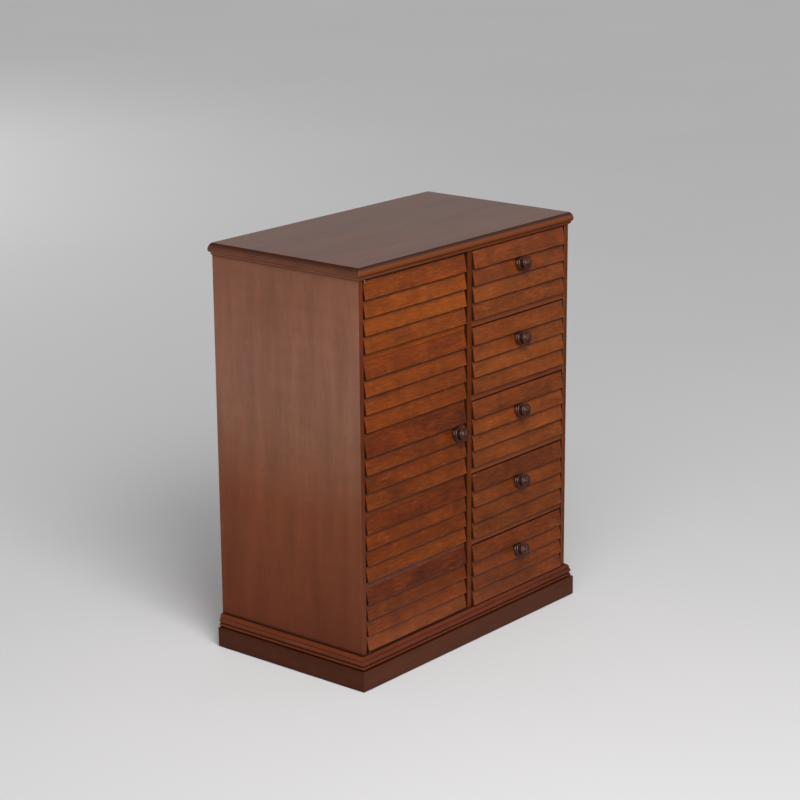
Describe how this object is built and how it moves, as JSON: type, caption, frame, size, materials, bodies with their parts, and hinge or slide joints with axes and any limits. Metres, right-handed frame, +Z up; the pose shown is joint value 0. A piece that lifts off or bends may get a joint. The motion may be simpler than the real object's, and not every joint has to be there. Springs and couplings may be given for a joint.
{
  "type": "slatted cabinet",
  "caption": "Free-standing wooden cabinet with a cupboard door beside a stack of drawers, all faced with sloping slats, under a moulded top and on a moulded plinth.",
  "frame": {"origin": "on the floor, at the middle of the object's box in X and Y", "axes": "+Z up; the front faces -Y; +X is to the right of someone facing the front"},
  "size_m": [0.705, 0.4144, 0.85],
  "materials": {
    "top_wood": "semi-gloss polished mahogany",
    "moulding_wood": "satin polished mahogany",
    "panel_wood": "matte reddish brown mahogany veneer",
    "rail_wood": "satin mahogany",
    "slat_wood": "satin orange-brown mahogany",
    "plinth_wood": "matte dark brown mahogany",
    "inner_wood": "unpolished secondary wood",
    "drawer_wood": "waxed pale hardwood",
    "knob_wood": "polished dark brown turned wood",
    "brass": "aged brass"
  },
  "bodies": {
    "case": {"top_board": "top_wood", "top_rails": "inner_wood", "bed_moulding_front": "moulding_wood", "bed_moulding_left": "moulding_wood", "bed_moulding_right": "moulding_wood", "side_panel_left": "panel_wood", "side_panel_right": "panel_wood", "divider": "panel_wood", "back_panel": "inner_wood", "bottom_board": "inner_wood", "drawer_rails": "rail_wood", "drawer_runners": "inner_wood", "drawer_stops": "inner_wood", "shelves": "inner_wood", "shelf_battens": "inner_wood", "plinth_front": "plinth_wood", "plinth_left": "plinth_wood", "plinth_right": "plinth_wood", "plinth_back": "inner_wood", "glue_blocks": "inner_wood", "base_moulding_front": "moulding_wood", "base_moulding_left": "moulding_wood", "base_moulding_right": "moulding_wood", "case_hinges": "brass"},
    "door": {"door_board": "rail_wood", "door_slats": "slat_wood", "door_false_rails": "rail_wood", "door_hinges": "brass", "door_catch": "brass", "door_knob": "knob_wood"},
    "drawer_1": {"drawer_1_front": "rail_wood", "drawer_1_slats": "slat_wood", "drawer_1_sides": "drawer_wood", "drawer_1_back": "drawer_wood", "drawer_1_bottom": "drawer_wood", "drawer_1_knob": "knob_wood"},
    "drawer_2": {"drawer_2_front": "rail_wood", "drawer_2_slats": "slat_wood", "drawer_2_sides": "drawer_wood", "drawer_2_back": "drawer_wood", "drawer_2_bottom": "drawer_wood", "drawer_2_knob": "knob_wood"},
    "drawer_3": {"drawer_3_front": "rail_wood", "drawer_3_slats": "slat_wood", "drawer_3_sides": "drawer_wood", "drawer_3_back": "drawer_wood", "drawer_3_bottom": "drawer_wood", "drawer_3_knob": "knob_wood"},
    "drawer_4": {"drawer_4_front": "rail_wood", "drawer_4_slats": "slat_wood", "drawer_4_sides": "drawer_wood", "drawer_4_back": "drawer_wood", "drawer_4_bottom": "drawer_wood", "drawer_4_knob": "knob_wood"},
    "drawer_5": {"drawer_5_front": "rail_wood", "drawer_5_slats": "slat_wood", "drawer_5_sides": "drawer_wood", "drawer_5_back": "drawer_wood", "drawer_5_bottom": "drawer_wood", "drawer_5_knob": "knob_wood"}
  },
  "joints": [
    {"name": "door_hinge", "type": "hinge", "parent": "case", "child": "door", "pos_m": [-0.32, -0.17783, 0.45], "axis": [0, 0, -1], "range_deg": [0, 110]},
    {"name": "drawer_1_slide", "type": "slide", "parent": "case", "child": "drawer_1", "axis": [0, -1, 0], "range_m": [0, 0.28]},
    {"name": "drawer_2_slide", "type": "slide", "parent": "case", "child": "drawer_2", "axis": [0, -1, 0], "range_m": [0, 0.28]},
    {"name": "drawer_3_slide", "type": "slide", "parent": "case", "child": "drawer_3", "axis": [0, -1, 0], "range_m": [0, 0.28]},
    {"name": "drawer_4_slide", "type": "slide", "parent": "case", "child": "drawer_4", "axis": [0, -1, 0], "range_m": [0, 0.28]},
    {"name": "drawer_5_slide", "type": "slide", "parent": "case", "child": "drawer_5", "axis": [0, -1, 0], "range_m": [0, 0.28]}
  ]
}
